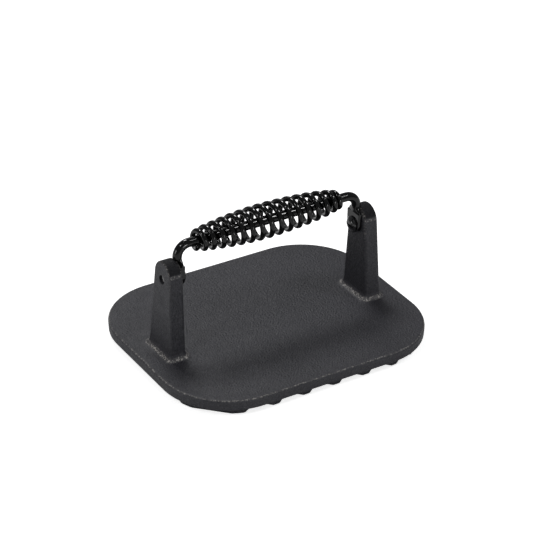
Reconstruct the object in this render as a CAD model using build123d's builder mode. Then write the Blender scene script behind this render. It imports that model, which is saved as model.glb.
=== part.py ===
from build123d import *
import math
import os

# Cast grill press: a rounded rectangular plate with diagonal ribs underneath,
# two upright posts cast with it, a bent round rod hinged between the posts on
# two screws, and a barrel-shaped wire spiral threaded on the rod as a grip.
# Millimetres. +X runs along the long side, +Y away from the viewer, +Z up.
# The rib bottoms lie on z = 0.

# plate
PLATE_L = 209.7          # long side at the rim
PLATE_W = 170.0          # short side at the rim
PLATE_R = 51.4           # corner radius in plan
PLATE_T = 8.2            # thickness of the plate
PLATE_DRAFT = 3.0        # draft of the rim, degrees
RIM_FILLET = 1.9         # rounding of the top edge
RIM_FILLET_LOW = 0.9     # rounding of the lower edge
RIB_H = 4.5              # height of the ribs under the plate
RIB_STEP = 24.75         # rib spacing measured along X or Y
RIB_TIP = 4.0            # width of a rib where it touches the food
RIB_ROOT = 6.4           # width of a rib at the plate
RIB_INSET_TIP = 3.4      # rib ends, inward from the rim, at the tip
RIB_INSET_ROOT = 2.2     # the same at the plate
RIB_SIDE_INSET = 1.2     # extra inset of the rib ends at the short sides
RIB_COUNT_HALF = 6       # ribs each side of the middle one

# posts
POST_OUT_BASE = 88.4     # |x| of the outer face at the plate
POST_OUT_TOP = 86.1      # |x| of the outer face at the top
POST_IN_BASE = 75.6      # |x| of the inner face at the plate
POST_IN_TOP = 74.9       # |x| of the inner face at the top
POST_HALF_BASE = 15.6    # half width along Y at the plate
POST_HALF_TOP = 10.8     # half width along Y where the round top starts
POST_ARC_Z = 61.2        # height above the plate where the round top starts
POST_EDGE_OUT = 1.4      # rounding of the outer edges
POST_EDGE_IN = 2.6       # rounding of the inner edges
POST_ROOT_FILLET = 5.2   # fillet between post and plate

# pivot
PIVOT_H = 58.4           # pivot height above the plate
SHANK_R = 3.15           # screw shank
TAB_HOLE_R = 3.20        # hole in the flattened rod end
TAP_HOLE_R = 3.15        # hole in the post
RECESS_R = 3.45          # shallow recess on the outer face
RECESS_DEPTH = 2.0
SHANK_END_GAP = 1.2      # shank end below the outer face
HEAD_R = 5.7
HEAD_H = 3.3
HEAD_RIM = 0.9           # straight part of the head's edge
SLOT_W = 1.3             # screwdriver slot
SLOT_DEPTH = 1.5
SLOT_TILT = 8.0          # slot direction, degrees from Y

# rod
ROD_R = 3.4
ROD_H = 82.1             # rod axis above the plate
LEG_X = 74.2             # |x| of the legs' centreline
BEND_R = 9.0
LEG_ROUND_END = 73.0     # the round section ends here, above the plate
TAB_START = 68.2         # the flattened part is full from here down
TAB_T = 3.1
TAB_R = 7.0
TAB_POST_GAP = 0.14      # between the flattened end and the post at the pivot

# spiral grip
WIRE_R = 1.96
GRIP_START = -116.6      # angle of the first station, degrees from +Y towards +Z
GRIP_TAIL = 50.0         # the wire runs on this far past the first and last station
GRIP_POINTS = 5          # path points in half a turn
# x and wire-centre radius at every half turn
GRIP_STATIONS = (
    (-60.3, 5.45), (-57.3, 6.35), (-54.2, 7.15), (-51.1, 7.65), (-47.7, 8.05), (-44.0, 8.5),
    (-40.3, 8.95), (-36.6, 9.4), (-32.9, 9.8), (-29.1, 10.1), (-25.3, 10.4), (-21.5, 10.65),
    (-17.7, 10.85), (-13.9, 11), (-10.0, 11.1), (-6.2, 11.15), (-2.3, 11.15), (1.6, 11.1),
    (5.6, 11), (9.6, 10.85), (13.6, 10.7), (17.6, 10.5), (21.6, 10.25), (25.6, 10),
    (29.6, 9.7), (33.6, 9.35), (37.6, 8.95), (41.6, 8.5), (45.6, 7.9), (49.4, 7.25),
    (52.7, 6.55), (55.3, 5.85), (57.3, 5.45),
)

PLATE_TOP = RIB_H + PLATE_T
PIVOT_Z = PLATE_TOP + PIVOT_H
ROD_Z = PLATE_TOP + ROD_H

os.makedirs("parts", exist_ok=True)


def post_inner_x(height):
    return POST_IN_BASE + (POST_IN_TOP - POST_IN_BASE) * height / (POST_ARC_Z + POST_HALF_TOP)


def post_outer_x(height):
    return POST_OUT_BASE + (POST_OUT_TOP - POST_OUT_BASE) * height / (POST_ARC_Z + POST_HALF_TOP)


def rib_prism(k):
    # one rib with a trapezoid section, running from front right to back left
    length = PLATE_L * 1.5
    middle = k * RIB_STEP / 2
    section = Plane(
        origin=(middle + length / 2 * math.sqrt(0.5), middle - length / 2 * math.sqrt(0.5), 0),
        x_dir=(-math.sqrt(0.5), -math.sqrt(0.5), 0),
        z_dir=(-math.sqrt(0.5), math.sqrt(0.5), 0),
    )
    with BuildPart() as rib:
        with BuildSketch(section):
            with BuildLine():
                Polyline(
                    (-RIB_TIP / 2, 0),
                    (RIB_TIP / 2, 0),
                    (RIB_ROOT / 2, RIB_H),
                    (RIB_ROOT / 2, RIB_H + 2.0),
                    (-RIB_ROOT / 2, RIB_H + 2.0),
                    (-RIB_ROOT / 2, RIB_H),
                    close=True,
                )
            make_face()
        extrude(amount=length)
        tips = rib.edges().filter_by(
            lambda e: abs(e.center().Z) < 0.01 and e.length > length * 0.9
        )
        fillet(tips, radius=0.9)
    return rib.part


# ---------------------------------------------------------------- casting
rim_drop = PLATE_T * math.tan(math.radians(PLATE_DRAFT))

with BuildPart() as rib_field:
    with BuildSketch(Plane.XY):
        RectangleRounded(
            PLATE_L - 2 * (RIB_INSET_TIP + RIB_SIDE_INSET),
            PLATE_W - 2 * RIB_INSET_TIP,
            PLATE_R - RIB_INSET_TIP,
        )
    with BuildSketch(Plane.XY.offset(RIB_H + 2.0)):
        RectangleRounded(
            PLATE_L - 2 * (RIB_INSET_ROOT + RIB_SIDE_INSET),
            PLATE_W - 2 * RIB_INSET_ROOT,
            PLATE_R - RIB_INSET_ROOT,
        )
    loft()

ribs = []
for k in range(-RIB_COUNT_HALF, RIB_COUNT_HALF + 1):
    ribs.append(rib_prism(k) & rib_field.part)

with BuildPart() as cast_body:
    with BuildSketch(Plane.XY.offset(RIB_H)):
        RectangleRounded(PLATE_L - 2 * rim_drop, PLATE_W - 2 * rim_drop, PLATE_R - rim_drop)
    with BuildSketch(Plane.XY.offset(PLATE_TOP)):
        RectangleRounded(PLATE_L, PLATE_W, PLATE_R)
    loft()
    fillet(cast_body.faces().sort_by(Axis.Z)[-1].edges(), radius=RIM_FILLET)
    fillet(cast_body.faces().sort_by(Axis.Z)[0].edges(), radius=RIM_FILLET_LOW)

    # posts: side outline along X, crossed with the drafted end outline
    for side in (-1, 1):
        with BuildPart(mode=Mode.PRIVATE) as post:
            with BuildSketch(Plane.YZ.offset(POST_IN_TOP - 3 if side > 0 else -POST_OUT_BASE - 2)):
                with BuildLine():
                    taper = math.atan2(POST_HALF_BASE - POST_HALF_TOP, POST_ARC_Z)
                    dy = POST_HALF_TOP
                    z_arc = PLATE_TOP + POST_ARC_Z
                    z_low = PLATE_TOP - 2.0
                    wide = POST_HALF_BASE + 2.0 * math.tan(taper)
                    Polyline((-dy, z_arc), (-wide, z_low), (wide, z_low), (dy, z_arc))
                    ThreePointArc((dy, z_arc), (0, z_arc + POST_HALF_TOP), (-dy, z_arc))
                make_face()
            extrude(amount=POST_OUT_BASE - POST_IN_TOP + 5)
            with BuildSketch(Plane.XZ.offset(-POST_HALF_BASE - 4)):
                with BuildLine():
                    top = POST_ARC_Z + POST_HALF_TOP + 2.0
                    Polyline(
                        (side * post_inner_x(-2.0), PLATE_TOP - 2.0),
                        (side * post_outer_x(-2.0), PLATE_TOP - 2.0),
                        (side * post_outer_x(top), PLATE_TOP + top),
                        (side * post_inner_x(top), PLATE_TOP + top),
                        close=True,
                    )
                make_face()
            extrude(amount=2 * POST_HALF_BASE + 8, mode=Mode.INTERSECT)
            outer = post.faces().sort_by(Axis.X)[-1 if side > 0 else 0]
            rim_out = outer.edges().filter_by(lambda e: e.center().Z > PLATE_TOP - 1.9)
            fillet(rim_out, radius=POST_EDGE_OUT)
            inner = post.faces().sort_by(Axis.X)[0 if side > 0 else -1]
            rim_in = inner.edges().filter_by(lambda e: e.center().Z > PLATE_TOP - 1.9)
            fillet(rim_in, radius=POST_EDGE_IN)
        add(post.part)

    def post_root(e):
        c = e.center()
        return (
            abs(c.Z - PLATE_TOP) < 0.02
            and POST_IN_BASE - 1 < abs(c.X) < POST_OUT_BASE + 1
            and abs(c.Y) < POST_HALF_BASE + 1
        )

    fillet(cast_body.edges().filter_by(post_root), radius=POST_ROOT_FILLET)

    for rib in ribs:
        add(rib)

    # pivot holes through the posts, each with a shallow outer recess
    for side in (-1, 1):
        with BuildSketch(Plane(origin=(side * 60, 0, PIVOT_Z), x_dir=(0, 1, 0), z_dir=(side, 0, 0))):
            Circle(TAP_HOLE_R)
        extrude(amount=40, mode=Mode.SUBTRACT)
        with BuildSketch(
            Plane(
                origin=(side * (post_outer_x(PIVOT_H) - RECESS_DEPTH), 0, PIVOT_Z),
                x_dir=(0, 1, 0),
                z_dir=(side, 0, 0),
            )
        ):
            Circle(RECESS_R)
        extrude(amount=10, mode=Mode.SUBTRACT)

cast_body.part.label = "cast_body"
export_step(cast_body.part, "parts/cast_body.step")

# ---------------------------------------------------------------- rod
tab_outer_x = post_inner_x(PIVOT_H) - TAB_POST_GAP
tab_mid_x = tab_outer_x - TAB_T / 2
leg_end_z = PLATE_TOP + LEG_ROUND_END
tab_top_z = PLATE_TOP + TAB_START
# height above the plate, centre |x|, half thickness, half width
FORGE = (
    (LEG_ROUND_END, LEG_X, ROD_R, ROD_R),
    (72.1, LEG_X - 0.4, 2.45, 4.2),
    (71.3, tab_mid_x + 0.15, 2.0, 5.1),
    (70.4, tab_mid_x - 0.05, 1.75, 6.0),
    (TAB_START, tab_mid_x, TAB_T / 2, TAB_R),
)

with BuildPart() as handle_rod:
    with BuildLine() as rod_path:
        l1 = Line((-LEG_X, 0, leg_end_z), (-LEG_X, 0, ROD_Z - BEND_R))
        a1 = ThreePointArc(
            (-LEG_X, 0, ROD_Z - BEND_R),
            (-LEG_X + BEND_R * (1 - math.sqrt(0.5)), 0, ROD_Z - BEND_R * (1 - math.sqrt(0.5))),
            (-LEG_X + BEND_R, 0, ROD_Z),
        )
        l2 = Line((-LEG_X + BEND_R, 0, ROD_Z), (LEG_X - BEND_R, 0, ROD_Z))
        a2 = ThreePointArc(
            (LEG_X - BEND_R, 0, ROD_Z),
            (LEG_X - BEND_R * (1 - math.sqrt(0.5)), 0, ROD_Z - BEND_R * (1 - math.sqrt(0.5))),
            (LEG_X, 0, ROD_Z - BEND_R),
        )
        l3 = Line((LEG_X, 0, ROD_Z - BEND_R), (LEG_X, 0, leg_end_z))
    with BuildSketch(Plane(origin=(-LEG_X, 0, leg_end_z), x_dir=(1, 0, 0), z_dir=(0, 0, 1))):
        Circle(ROD_R)
    sweep()

    for side in (-1, 1):
        # the forged change from round rod to flat tab
        for height, x_mid, half_x, half_y in FORGE:
            with BuildSketch(Plane.XY.offset(PLATE_TOP + height)):
                with Locations((side * x_mid, 0)):
                    Ellipse(half_x, half_y)
        loft()
        # the flat tab
        with BuildSketch(Plane(origin=(side * tab_mid_x, 0, PIVOT_Z), x_dir=(0, 1, 0), z_dir=(1, 0, 0))):
            with BuildLine():
                h = tab_top_z - PIVOT_Z
                Polyline((-TAB_R, 0), (-TAB_R, h), (TAB_R, h), (TAB_R, 0))
                ThreePointArc((TAB_R, 0), (0, -TAB_R), (-TAB_R, 0))
            make_face()
        extrude(amount=TAB_T / 2, both=True)
        with BuildSketch(Plane(origin=(side * 60, 0, PIVOT_Z), x_dir=(0, 1, 0), z_dir=(side, 0, 0))):
            Circle(TAB_HOLE_R)
        extrude(amount=30, mode=Mode.SUBTRACT)

handle_rod.part.label = "handle_rod"
export_step(handle_rod.part, "parts/handle_rod.step")

# ---------------------------------------------------------------- spiral grip
def grip_at(u):
    # smooth curve through the stations; u counts half turns from the first one
    last = len(GRIP_STATIONS) - 1
    i = min(max(int(math.floor(u)), 0), last - 1)
    f = u - i
    p1, p2 = GRIP_STATIONS[i], GRIP_STATIONS[i + 1]
    p0 = GRIP_STATIONS[i - 1] if i > 0 else tuple(2 * a - b for a, b in zip(p1, p2))
    p3 = GRIP_STATIONS[i + 2] if i + 2 <= last else tuple(2 * b - a for a, b in zip(p1, p2))
    out = []
    for q0, q1, q2, q3 in zip(p0, p1, p2, p3):
        out.append(
            0.5 * (2 * q1 + (q2 - q0) * f + (2 * q0 - 5 * q1 + 4 * q2 - q3) * f * f
                   + (3 * q1 - q0 - 3 * q2 + q3) * f ** 3)
        )
    return out


half_turns = len(GRIP_STATIONS) - 1
tail = GRIP_TAIL / 180
count = int(round((half_turns + 2 * tail) * GRIP_POINTS))
points = []
for i in range(count + 1):
    u = -tail + (half_turns + 2 * tail) * i / count
    inside = min(max(u, 0.0), float(half_turns))
    x, r = grip_at(inside)
    x += (u - inside) * 2.0
    r = max(r, GRIP_STATIONS[0][1])
    angle = math.radians(GRIP_START + 180 * u)
    points.append((x, r * math.cos(angle), ROD_Z + r * math.sin(angle)))

with BuildPart() as spiral_grip:
    with BuildLine() as wire_path:
        Spline(*points)
    with BuildSketch(Plane(origin=wire_path.line @ 0, z_dir=wire_path.line % 0)):
        Circle(WIRE_R)
    sweep(is_frenet=True)

spiral_grip.part.label = "spiral_grip"
export_step(spiral_grip.part, "parts/spiral_grip.step")

# ---------------------------------------------------------------- screws
head_face_x = tab_outer_x - TAB_T - 0.06
shank_end_x = post_outer_x(PIVOT_H) - SHANK_END_GAP


def button_screw(side):
    with BuildPart() as screw:
        with BuildSketch(Plane.XZ):
            with BuildLine():
                Polyline(
                    (head_face_x - HEAD_H, 0),
                    (shank_end_x, 0),
                    (shank_end_x, SHANK_R - 0.5),
                    (shank_end_x - 0.5, SHANK_R),
                    (head_face_x, SHANK_R),
                    (head_face_x, HEAD_R),
                    (head_face_x - HEAD_RIM, HEAD_R),
                )
                ThreePointArc(
                    (head_face_x - HEAD_RIM, HEAD_R),
                    (head_face_x - HEAD_RIM - (HEAD_H - HEAD_RIM) * 0.74, HEAD_R * 0.62),
                    (head_face_x - HEAD_H, 0),
                )
            make_face()
        revolve(axis=Axis.X)
        with BuildSketch(Plane(origin=(head_face_x - HEAD_H - 1, 0, 0), x_dir=(0, 1, 0), z_dir=(1, 0, 0))):
            Rectangle(3 * HEAD_R, SLOT_W, rotation=SLOT_TILT)
        extrude(amount=1 + SLOT_DEPTH, mode=Mode.SUBTRACT)
    part = screw.part
    if side < 0:
        part = part.mirror(Plane.YZ)
    return part.moved(Location((0, 0, PIVOT_Z)))


with BuildPart() as screw_left:
    add(button_screw(-1))
screw_left.part.label = "screw_left"
export_step(screw_left.part, "parts/screw_left.step")

with BuildPart() as screw_right:
    add(button_screw(1))
screw_right.part.label = "screw_right"
export_step(screw_right.part, "parts/screw_right.step")
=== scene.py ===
import math

import bmesh
import bpy
import numpy as np
from mathutils import Matrix, Vector

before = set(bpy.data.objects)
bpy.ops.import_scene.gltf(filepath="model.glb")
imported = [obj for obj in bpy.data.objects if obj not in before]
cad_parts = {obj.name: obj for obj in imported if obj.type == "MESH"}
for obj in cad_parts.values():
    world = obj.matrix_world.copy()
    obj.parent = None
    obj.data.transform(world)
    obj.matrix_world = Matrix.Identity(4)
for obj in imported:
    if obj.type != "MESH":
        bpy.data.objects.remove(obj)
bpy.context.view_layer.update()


# ------------------------------------------------------------------ camera
PLATE_TOP = 0.0127


def camera():
    az, el, roll = math.radians(-32.289), math.radians(30.788), math.radians(1.214)
    back = Vector((math.sin(az) * math.cos(el), -math.cos(az) * math.cos(el), math.sin(el)))
    right = Vector((math.cos(az), math.sin(az), 0.0))
    up = back.cross(right)
    c, s = math.cos(roll), math.sin(roll)
    r2 = c * right + s * up
    u2 = -s * right + c * up
    dist, ty = 1.6549, 0.03724
    cam = bpy.data.cameras.new("camera")
    cam.sensor_fit = "HORIZONTAL"
    cam.sensor_width = 36.0
    cam.lens = 2290.1 * 36.0 / 533.0
    cam.clip_start = 0.05
    cam.clip_end = 20.0
    obj = bpy.data.objects.new("camera", cam)
    bpy.context.scene.collection.objects.link(obj)
    m = Matrix((
        (r2.x, u2.x, back.x, 0.0),
        (r2.y, u2.y, back.y, 0.0),
        (r2.z, u2.z, back.z, 0.0),
        (0.0, 0.0, 0.0, 1.0),
    ))
    m.translation = Vector((0.0, 0.0, PLATE_TOP)) + u2 * ty + back * dist
    obj.matrix_world = m
    bpy.context.scene.camera = obj
    return obj


cam_obj = camera()


# ------------------------------------------------------------------ node helpers
class Nodes:
    def __init__(self, name):
        self.mat = bpy.data.materials.new(name)
        self.mat.use_nodes = True
        self.t = self.mat.node_tree
        self.t.nodes.clear()
        self.out = self.t.nodes.new("ShaderNodeOutputMaterial")
        self.bsdf = self.t.nodes.new("ShaderNodeBsdfPrincipled")
        self.t.links.new(self.bsdf.outputs[0], self.out.inputs[0])
        self.coord = self.t.nodes.new("ShaderNodeTexCoord")

    def link(self, a, b):
        self.t.links.new(a, b)

    def noise(self, scale, detail=2.0, rough=0.5, distort=0.0, vec=None):
        n = self.t.nodes.new("ShaderNodeTexNoise")
        n.inputs["Scale"].default_value = scale
        n.inputs["Detail"].default_value = detail
        n.inputs["Roughness"].default_value = rough
        n.inputs["Distortion"].default_value = distort
        self.link(vec or self.coord.outputs["Object"], n.inputs["Vector"])
        return n.outputs["Fac"]

    def voronoi(self, scale, feature="F1", smooth=None):
        n = self.t.nodes.new("ShaderNodeTexVoronoi")
        n.feature = feature
        n.inputs["Scale"].default_value = scale
        self.link(self.coord.outputs["Object"], n.inputs["Vector"])
        return n.outputs["Distance"]

    def split(self, vec):
        n = self.t.nodes.new("ShaderNodeSeparateXYZ")
        self.link(vec, n.inputs[0])
        return n.outputs

    def ramp(self, fac, stops):
        n = self.t.nodes.new("ShaderNodeValToRGB")
        el = n.color_ramp.elements
        while len(el) > 1:
            el.remove(el[-1])
        el[0].position, el[0].color = stops[0][0], stops[0][1]
        for pos, col in stops[1:]:
            e = el.new(pos)
            e.color = col
        self.link(fac, n.inputs["Fac"])
        return n.outputs["Color"]

    def maprange(self, fac, a, b, c, d):
        n = self.t.nodes.new("ShaderNodeMapRange")
        n.inputs["From Min"].default_value = a
        n.inputs["From Max"].default_value = b
        n.inputs["To Min"].default_value = c
        n.inputs["To Max"].default_value = d
        self.link(fac, n.inputs["Value"])
        return n.outputs["Result"]

    def math(self, op, a, b):
        n = self.t.nodes.new("ShaderNodeMath")
        n.operation = op
        for i, v in enumerate((a, b)):
            if isinstance(v, (int, float)):
                n.inputs[i].default_value = v
            else:
                self.link(v, n.inputs[i])
        return n.outputs[0]

    def mix(self, fac, a, b):
        n = self.t.nodes.new("ShaderNodeMix")
        n.data_type = "RGBA"
        for key, v in ((0, fac), (6, a), (7, b)):
            if isinstance(v, (int, float, tuple)):
                n.inputs[key].default_value = v
            else:
                self.link(v, n.inputs[key])
        return n.outputs[2]

    def bump(self, height, strength, distance, normal=None):
        n = self.t.nodes.new("ShaderNodeBump")
        n.inputs["Strength"].default_value = strength
        n.inputs["Distance"].default_value = distance
        self.link(height, n.inputs["Height"])
        if normal is not None:
            self.link(normal, n.inputs["Normal"])
        return n.outputs["Normal"]


def cast_iron():
    n = Nodes("cast_iron_black")
    sand = n.noise(720.0, 2.0, 0.55)
    grain = n.noise(1500.0, 2.0, 0.65)
    pits = n.voronoi(520.0)
    mid = n.noise(190.0, 3.0, 0.5)
    broad = n.noise(14.0, 3.0, 0.5)
    tone = n.math("ADD", n.math("MULTIPLY", sand, 0.55), n.math("MULTIPLY", grain, 0.45))
    col = n.ramp(tone, [
        (0.33, (0.0132, 0.0132, 0.0160, 1)),
        (0.47, (0.0252, 0.0253, 0.0315, 1)),
        (0.60, (0.0400, 0.0400, 0.0478, 1)),
        (0.70, (0.0840, 0.0835, 0.0890, 1)),
    ])
    patchy = n.ramp(broad, [(0.35, (0.88, 0.88, 0.89, 1)), (0.65, (1.13, 1.12, 1.11, 1))])
    mul = n.t.nodes.new("ShaderNodeMix")
    mul.data_type = "RGBA"
    mul.blend_type = "MULTIPLY"
    mul.inputs[0].default_value = 1.0
    n.link(col, mul.inputs[6])
    n.link(patchy, mul.inputs[7])

    # edges and fillets are painted lighter: partly bare, coarser grain and partly a painted highlight where the
    # lamps catch them; chosen by height and by the way the casting's surface faces
    pos = n.split(n.coord.outputs["Object"])
    nor = n.split(n.coord.outputs["Normal"])
    low = n.maprange(pos[2], 0.0172, 0.0182, 1.0, 0.0)
    turn = n.math("MULTIPLY", n.maprange(nor[2], 0.48, 0.72, 0.0, 1.0),
                  n.maprange(nor[2], 0.88, 0.97, 1.0, 0.0))
    root = n.maprange(pos[2], 0.0127, 0.0131, 0.55, 1.0)
    rim_sheen_and_wear = n.math("MULTIPLY", n.math("MULTIPLY", low, turn), root)
    side = n.math("ABSOLUTE", nor[0], 0.0)
    corner = n.math("MULTIPLY", n.maprange(side, 0.20, 0.45, 0.0, 1.0),
                    n.maprange(side, 0.86, 0.97, 1.0, 0.0))
    high = n.maprange(pos[2], 0.060, 0.080, 0.02, 0.40)
    post_edge_sheen_and_wear = n.math("MULTIPLY", corner, n.math("MULTIPLY", high, n.maprange(pos[2], 0.0147, 0.0177, 0.0, 1.0)))
    # painted highlight: a bright band where the round top of a post begins
    painted_crease_glint = n.math("MULTIPLY", n.math("MULTIPLY", n.maprange(pos[2], 0.0752, 0.0762, 0.0, 1.0),
                                       n.maprange(pos[2], 0.0771, 0.0781, 1.0, 0.0)),
                    n.maprange(side, 0.55, 0.80, 0.50, 0.0))
    edge_sheen_and_wear = n.math("MAXIMUM", n.math("MAXIMUM", rim_sheen_and_wear, post_edge_sheen_and_wear), painted_crease_glint)
    speck = n.maprange(n.noise(760.0, 2.0, 0.6), 0.52, 0.60, 0.0, 1.0)
    # painted shade: the rounded post tops are darkened to near black
    painted_crown_shade = n.math("MULTIPLY", n.maprange(pos[2], 0.0773, 0.0787, 0.0, 1.0),
                   n.maprange(side, 0.70, 0.92, 0.72, 0.0))
    body = n.mix(painted_crown_shade, mul.outputs[2], (0.006, 0.006, 0.0065, 1))
    # painted highlight, partly wear: a light speckled colour is mixed in on edges, fillets and the crease band
    bare_and_sheen = n.math("MULTIPLY", edge_sheen_and_wear, n.math("ADD", n.math("MULTIPLY", speck, 0.80), 0.10))
    worn_and_sheen = n.mix(bare_and_sheen, body, (0.50, 0.475, 0.445, 1))
    n.link(worn_and_sheen, n.bsdf.inputs["Base Color"])

    rough = n.maprange(mid, 0.3, 0.7, 0.42, 0.54)
    n.link(n.math("SUBTRACT", rough, n.math("MULTIPLY", edge_sheen_and_wear, 0.15)), n.bsdf.inputs["Roughness"])
    # the painted shade on the post tops also lowers their specular level
    n.link(n.math("SUBTRACT", 0.5, n.math("MULTIPLY", painted_crown_shade, 0.5)), n.bsdf.inputs["Specular IOR Level"])
    b1 = n.bump(mid, 0.5, 0.0006)
    b2 = n.bump(sand, 1.0, 0.0007, b1)
    b3 = n.bump(pits, 0.35, 0.0003, b2)
    b4 = n.bump(grain, 0.7, 0.00025, b3)
    n.link(b4, n.bsdf.inputs["Normal"])
    return n.mat


def gloss_black(name, rough=(0.10, 0.16), base=0.0025, spec=0.25, coat=0.5):
    n = Nodes(name)
    fine = n.noise(420.0, 3.0, 0.5)
    wide = n.noise(60.0, 2.0, 0.5)
    col = n.ramp(wide, [(0.3, (base, base, base * 1.04, 1)), (0.7, (base * 1.7, base * 1.7, base * 1.75, 1))])
    n.link(col, n.bsdf.inputs["Base Color"])
    n.link(n.maprange(fine, 0.3, 0.7, *rough), n.bsdf.inputs["Roughness"])
    n.bsdf.inputs["Specular IOR Level"].default_value = spec
    n.bsdf.inputs["Coat Weight"].default_value = coat
    n.bsdf.inputs["Coat Roughness"].default_value = 0.05
    b1 = n.bump(wide, 0.2, 0.0002)
    b2 = n.bump(fine, 0.15, 0.00005, b1)
    n.link(b2, n.bsdf.inputs["Normal"])
    return n.mat


iron = cast_iron()
rod_mat = gloss_black("rod_black")
wire_mat = gloss_black("wire_black")
screw_mat = gloss_black("screw_black", rough=(0.14, 0.24), base=0.010, spec=0.6, coat=0.9)

for node, mat in (("cast_body", iron), ("handle_rod", rod_mat), ("spiral_grip", wire_mat),
                  ("screw_left", screw_mat), ("screw_right", screw_mat)):
    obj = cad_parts[node]
    for slot in obj.material_slots:
        slot.material = mat


# ------------------------------------------------------------------ stage
def stage_floor():
    me = bpy.data.meshes.new("floor")
    bm = bmesh.new()
    xs = np.linspace(-2.5, 2.5, 2)
    prof = [(-2.5, 0.0), (2.5, 0.0)]
    rows = [[bm.verts.new((x, y, z - 0.00005)) for x in xs] for y, z in prof]
    for a, b in zip(rows, rows[1:]):
        bm.faces.new((a[0], a[1], b[1], b[0]))
    bm.to_mesh(me)
    bm.free()
    for p in me.polygons:
        p.use_smooth = True
    obj = bpy.data.objects.new("floor", me)
    # the backdrop stands behind the object as the camera sees it
    obj.rotation_euler = (0, 0, math.radians(-32.289))
    bpy.context.scene.collection.objects.link(obj)
    n = Nodes("studio_floor")
    f = n.noise(3.0, 2.0, 0.5)
    col = n.ramp(f, [(0.3, (0.80, 0.80, 0.80, 1)), (0.7, (0.84, 0.84, 0.84, 1))])
    n.link(col, n.bsdf.inputs["Base Color"])
    n.bsdf.inputs["Roughness"].default_value = 0.9
    n.bsdf.inputs["Specular IOR Level"].default_value = 0.1
    # the camera sees the paper overexposed to white, with a faint shadow left
    glow = n.t.nodes.new("ShaderNodeEmission")
    glow.inputs[0].default_value = (1, 1, 1, 1)
    glow.inputs[1].default_value = 0.80
    both = n.t.nodes.new("ShaderNodeAddShader")
    pick = n.t.nodes.new("ShaderNodeMixShader")
    path = n.t.nodes.new("ShaderNodeLightPath")
    n.link(n.bsdf.outputs[0], both.inputs[0])
    n.link(glow.outputs[0], both.inputs[1])
    n.link(path.outputs["Is Camera Ray"], pick.inputs[0])
    n.link(n.bsdf.outputs[0], pick.inputs[1])
    n.link(both.outputs[0], pick.inputs[2])
    n.link(pick.outputs[0], n.out.inputs[0])
    me.materials.append(n.mat)
    return obj


def area(name, loc, target, size, energy, shape="RECTANGLE", size_y=None, color=(1, 1, 1)):
    light = bpy.data.lights.new(name, "AREA")
    light.shape = shape
    light.size = size
    light.size_y = size_y or size
    light.energy = energy
    light.color = color
    obj = bpy.data.objects.new(name, light)
    obj.location = loc
    d = Vector(target) - Vector(loc)
    obj.rotation_euler = d.to_track_quat("-Z", "Y").to_euler()
    bpy.context.scene.collection.objects.link(obj)
    return obj


stage_floor()


def studio_world():
    # the camera sees a white room; the object reflects a dim one
    world = bpy.data.worlds.new("studio")
    world.use_nodes = True
    t = world.node_tree
    t.nodes.clear()
    out = t.nodes.new("ShaderNodeOutputWorld")
    mix = t.nodes.new("ShaderNodeMixShader")
    path = t.nodes.new("ShaderNodeLightPath")
    dim = t.nodes.new("ShaderNodeBackground")
    white = t.nodes.new("ShaderNodeBackground")
    dim.inputs[0].default_value = (0.97, 0.98, 1.0, 1)
    dim.inputs[1].default_value = DIM
    white.inputs[0].default_value = (1, 1, 1, 1)
    white.inputs[1].default_value = 1.0
    t.links.new(path.outputs["Is Camera Ray"], mix.inputs[0])
    t.links.new(dim.outputs[0], mix.inputs[1])
    t.links.new(white.outputs[0], mix.inputs[2])
    t.links.new(mix.outputs[0], out.inputs[0])
    bpy.context.scene.world = world


DIM = 0.135
studio_world()
bpy.context.scene.view_settings.view_transform = "Standard"


def softbox(name, direction, distance, size, radiance):
    d = Vector(direction).normalized()
    target = Vector((0, 0, 0.04))
    power = radiance * math.pi * size * size
    area(name, target + d * distance, target, size, power)


softbox("top_back", (0.02, 0.46, 0.88), 1.25, 0.28, 22.3)
softbox("front_right", (0.45, -0.38, 0.80), 1.4, 0.18, 28.0)
softbox("left", (-0.60, -0.18, 0.78), 1.05, 0.15, 17.0)
softbox("back_low", (0.25, 0.85, 0.46), 0.85, 0.44, 0.9)
softbox("front_low", (0.10, -0.98, 0.12), 1.2, 0.26, 9.0)
softbox("left_low", (-0.97, 0.10, 0.20), 0.8, 0.24, 4.6)
